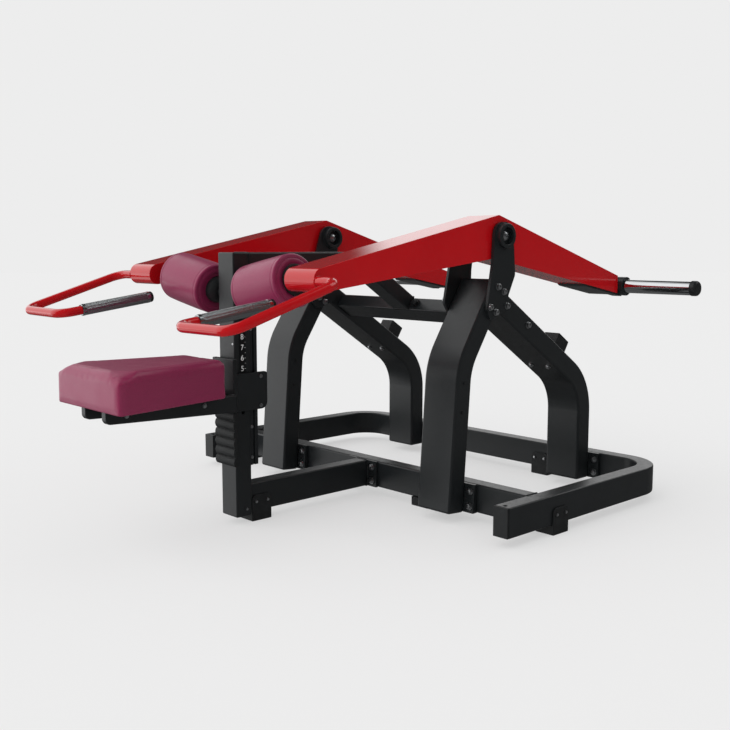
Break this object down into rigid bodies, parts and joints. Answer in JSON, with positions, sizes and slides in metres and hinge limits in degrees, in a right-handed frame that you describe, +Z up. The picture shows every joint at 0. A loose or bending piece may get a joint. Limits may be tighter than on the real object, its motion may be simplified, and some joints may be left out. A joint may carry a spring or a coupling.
{
  "type": "triceps extension machine",
  "caption": "Plate-loaded seated triceps extension machine: black frame, red lever arms with chrome grips and weight horns, maroon seat pad and thigh rollers.",
  "frame": {"origin": "on the floor, under the middle of the machine's bounding box, on its plane of symmetry", "axes": "+X to the seated user's right, along the arms' pivot line; +Y the way the seated user faces, from the seat towards the weight horns; +Z up from the floor"},
  "size_m": [1.54, 1.9047, 0.9466],
  "materials": {
    "black_paint": "satin charcoal-black powder coat on welded steel tube and plate",
    "red_paint": "gloss red powder coat on welded steel tube",
    "maroon_vinyl": "maroon upholstery vinyl over foam, fine grain, semi-matt",
    "chrome": "bright chrome plate, knurled on the grips",
    "black_rubber": "matt black rubber",
    "black_plastic": "black moulded plastic",
    "zinc_steel": "zinc-plated steel",
    "label": "black plastic strip with pale printed numbers",
    "seat_board": "dark-stained plywood let into the cushion's underside"
  },
  "bodies": {
    "frame": {"base_rail": "black_paint", "front_crossbar": "black_paint", "spine_flange": "black_paint", "base_spine": "black_paint", "rail_end_cap_right": "black_plastic", "rail_end_cap_left": "black_plastic", "spine_foot": "black_rubber", "column": "black_paint", "guide_rail": "black_paint", "number_plate": "label", "ribbed_guard": "black_rubber", "upper_cross_tube": "black_paint", "top_beam": "black_paint", "rail_foot_right": "black_rubber", "rear_foot_right": "black_rubber", "crossbar_foot_right": "black_rubber", "front_leg_right": "black_paint", "rear_leg_right": "black_paint", "front_leg_flange_right": "black_paint", "rear_leg_flange_right": "black_paint", "bumper_right": "black_rubber", "pivot_plate_outer_right": "black_paint", "pivot_plate_inner_right": "black_paint", "pivot_shaft_right": "zinc_steel", "roller_axle_right": "black_plastic", "rail_foot_left": "black_rubber", "rear_foot_left": "black_rubber", "crossbar_foot_left": "black_rubber", "front_leg_left": "black_paint", "rear_leg_left": "black_paint", "front_leg_flange_left": "black_paint", "rear_leg_flange_left": "black_paint", "bumper_left": "black_rubber", "pivot_plate_outer_left": "black_paint", "pivot_plate_inner_left": "black_paint", "pivot_shaft_left": "zinc_steel", "roller_axle_left": "black_plastic"},
    "arm_right": {"arm_beam_right": "red_paint", "handle_tube_right": "red_paint", "grip_sleeve_right": "chrome", "grip_cap_right": "black_plastic", "horn_bracket_right": "black_paint", "horn_sleeve_right": "chrome", "horn_cap_right": "black_plastic"},
    "arm_left": {"arm_beam_left": "red_paint", "handle_tube_left": "red_paint", "grip_sleeve_left": "chrome", "grip_cap_left": "black_plastic", "horn_bracket_left": "black_paint", "horn_sleeve_left": "chrome", "horn_cap_left": "black_plastic"},
    "seat_carriage": {"carriage_sleeve": "black_paint", "seat_arm_right": "black_paint", "seat_arm_left": "black_paint", "seat_board": "seat_board", "seat_pad": "maroon_vinyl", "lock_housing": "zinc_steel"},
    "seat_lock": {"lock_pin": "black_plastic"},
    "roller_right": {"roller_pad_right": "maroon_vinyl"},
    "roller_left": {"roller_pad_left": "maroon_vinyl"}
  },
  "joints": [
    {"name": "arm_right_hinge", "type": "hinge", "parent": "frame", "child": "arm_right", "pos_m": [0.411, 0.2168, 0.882], "axis": [-1, 0, 0], "range_deg": [0, 21.5]},
    {"name": "arm_left_hinge", "type": "hinge", "parent": "frame", "child": "arm_left", "pos_m": [-0.411, 0.2168, 0.882], "axis": [-1, 0, 0], "range_deg": [0, 21.5]},
    {"name": "seat_height_slide", "type": "slide", "parent": "frame", "child": "seat_carriage", "axis": [0, 0, 1], "range_m": [0, 0.128]},
    {"name": "lock_pin_pull", "type": "slide", "parent": "seat_carriage", "child": "seat_lock", "axis": [-1, 0, 0], "range_m": [0, 0.01], "stiffness_N_per_m": 800},
    {"name": "roller_right_spin", "type": "hinge", "parent": "frame", "child": "roller_right", "pos_m": [0.1935, -0.4647, 0.737], "axis": [0.9842, 0, 0.1771], "continuous": true},
    {"name": "roller_left_spin", "type": "hinge", "parent": "frame", "child": "roller_left", "pos_m": [-0.1935, -0.4647, 0.737], "axis": [-0.9842, 0, 0.1771], "continuous": true}
  ]
}
